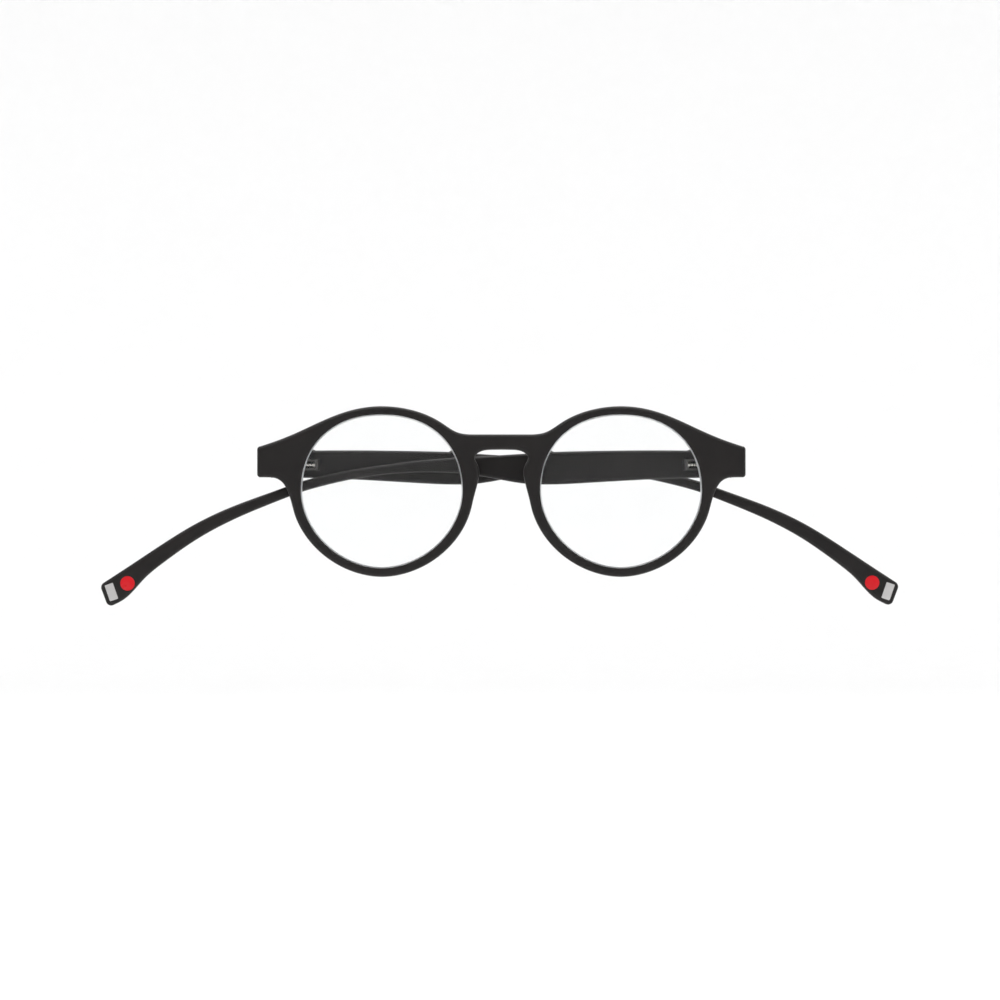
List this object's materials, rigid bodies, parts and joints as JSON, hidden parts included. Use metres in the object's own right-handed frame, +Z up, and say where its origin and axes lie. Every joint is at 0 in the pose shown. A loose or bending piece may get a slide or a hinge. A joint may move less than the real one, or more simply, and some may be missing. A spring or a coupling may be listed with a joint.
{
  "type": "folding reading glasses",
  "caption": "Round-lens matte black reading glasses with a keyhole bridge, spring hinges and long slender temples folded behind the front, tips with magnets that join behind the neck",
  "frame": {"origin": "midway between the two nose pads, where the glasses rest on the nose", "axes": "+X to the wearer's left, along the front; +Y from the lenses towards the wearer; +Z up"},
  "size_m": [0.2323, 0.0186, 0.0578],
  "materials": {
    "frame_black": "soft-touch matte black",
    "temple_black": "soft-touch matte black",
    "lens_clear": "clear, polished",
    "hinge_metal": "satin nickel silver",
    "housing_dark": "blackened satin steel",
    "screw_steel": "bright steel",
    "spring_steel": "drawn steel wire",
    "magnet_metal": "light grey nickel plate",
    "dot_red": "glossy red"
  },
  "bodies": {
    "front": {"front_frame": "frame_black", "left_lens": "lens_clear", "right_lens": "lens_clear", "left_hinge_plate": "hinge_metal", "left_hinge_screw": "screw_steel", "right_hinge_plate": "hinge_metal", "right_hinge_screw": "screw_steel"},
    "left_slider": {"left_hinge_slider": "hinge_metal", "left_slider_stop": "hinge_metal", "left_hinge_spring": "spring_steel"},
    "left_arm": {"left_temple_arm": "temple_black", "left_spring_housing": "housing_dark", "left_temple_neck": "temple_black"},
    "left_tip": {"left_temple_paddle": "temple_black", "left_tip_magnet": "magnet_metal", "left_dot_inlay": "dot_red"},
    "right_slider": {"right_hinge_slider": "hinge_metal", "right_slider_stop": "hinge_metal", "right_hinge_spring": "spring_steel"},
    "right_arm": {"right_temple_arm": "temple_black", "right_spring_housing": "housing_dark", "right_temple_neck": "temple_black"},
    "right_tip": {"right_temple_paddle": "temple_black", "right_tip_magnet": "magnet_metal", "right_dot_inlay": "dot_red"}
  },
  "joints": [
    {"name": "left_temple_fold", "type": "hinge", "parent": "front", "child": "left_slider", "pos_m": [0.0658, 0.0071, 0.0024], "axis": [0, 0, -1], "range_deg": [0, 100]},
    {"name": "left_spring_slide", "type": "slide", "parent": "left_slider", "child": "left_arm", "axis": [-1, 0, 0], "range_m": [0, 0.0012], "stiffness_N_per_m": 1500, "deforming": ["left_hinge_spring"]},
    {"name": "left_neck_flex", "type": "hinge", "parent": "left_arm", "child": "left_tip", "pos_m": [-0.0542, 0.008, -0.004], "axis": [0, 0, 1], "range_deg": [-8, 38], "stiffness_Nm_per_rad": 0.12, "deforming": ["left_temple_neck"]},
    {"name": "right_temple_fold", "type": "hinge", "parent": "front", "child": "right_slider", "pos_m": [-0.0658, 0.0071, 0.0024], "axis": [0, 0, 1], "range_deg": [0, 96.5]},
    {"name": "right_spring_slide", "type": "slide", "parent": "right_slider", "child": "right_arm", "axis": [0.9981, 0.061, 0], "range_m": [0, 0.0012], "stiffness_N_per_m": 1500, "deforming": ["right_hinge_spring"]},
    {"name": "right_neck_flex", "type": "hinge", "parent": "right_arm", "child": "right_tip", "pos_m": [0.05392, 0.01532, -0.004], "axis": [0, 0, -1], "range_deg": [-8, 38], "stiffness_Nm_per_rad": 0.12, "deforming": ["right_temple_neck"]}
  ]
}
